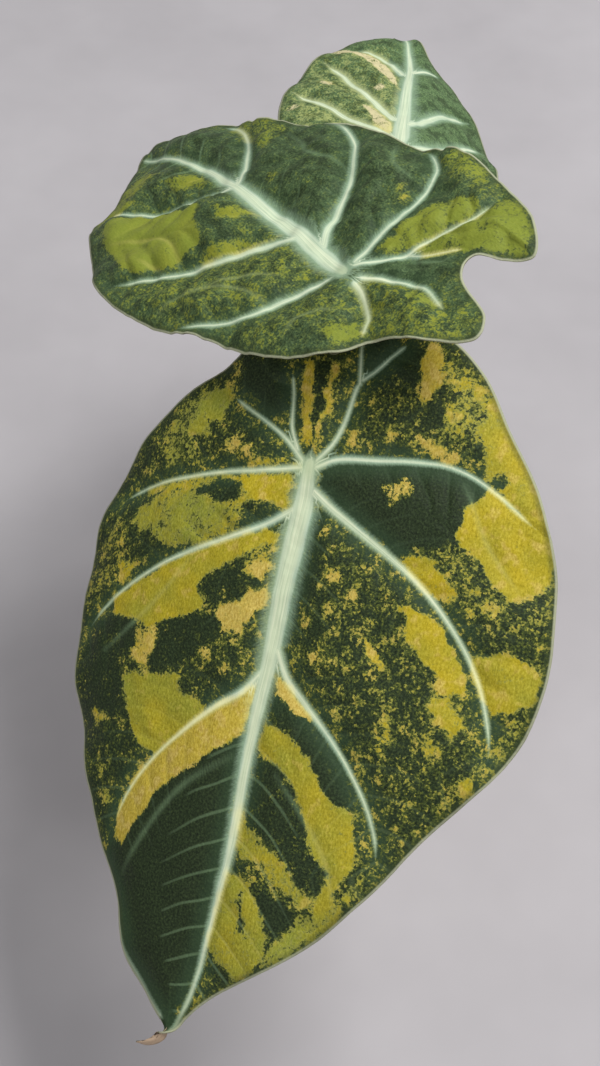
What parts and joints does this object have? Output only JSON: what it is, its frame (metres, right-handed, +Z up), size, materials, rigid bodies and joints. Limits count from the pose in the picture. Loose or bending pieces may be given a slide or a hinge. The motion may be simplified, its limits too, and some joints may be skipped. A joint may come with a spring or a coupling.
{
  "type": "potted black velvet alocasia",
  "caption": "Small potted aroid house plant: thick variegated heart-shaped leaves with broad pale veins on upright stalks, in a plain pot of chunky mix.",
  "frame": {"origin": "middle of the pot's underside", "axes": "+Z up through the pot's axis; the largest leaf points towards -Y"},
  "size_m": [0.1009, 0.2663, 0.1833],
  "materials": {
    "pot": "matte unglazed stoneware",
    "potting_mix": "damp crumbly bark and peat",
    "corm": "ringed corky skin",
    "petiole": "smooth fleshy stalk",
    "blade": "velvety variegated leaf",
    "sheath": "dry papery sheath",
    "bark": "rough bark chip",
    "pumice": "porous pumice"
  },
  "bodies": {
    "root": {"pot": "pot", "potting_mix": "potting_mix", "corm": "corm", "petiole_front": "petiole", "petiole_middle": "petiole", "petiole_back": "petiole", "blade_front": "blade", "blade_middle": "blade", "blade_back": "blade", "sheath_left": "sheath", "sheath_right": "sheath", "bark_chip_1": "bark", "bark_chip_2": "bark", "bark_chip_3": "bark", "bark_chip_4": "bark", "bark_chip_5": "bark", "bark_chip_6": "bark", "bark_chip_7": "bark", "bark_chip_8": "bark", "pumice_grain_1": "pumice", "pumice_grain_2": "pumice", "pumice_grain_3": "pumice", "pumice_grain_4": "pumice", "pumice_grain_5": "pumice", "pumice_grain_6": "pumice", "pumice_grain_7": "pumice"}
  },
  "joints": []
}
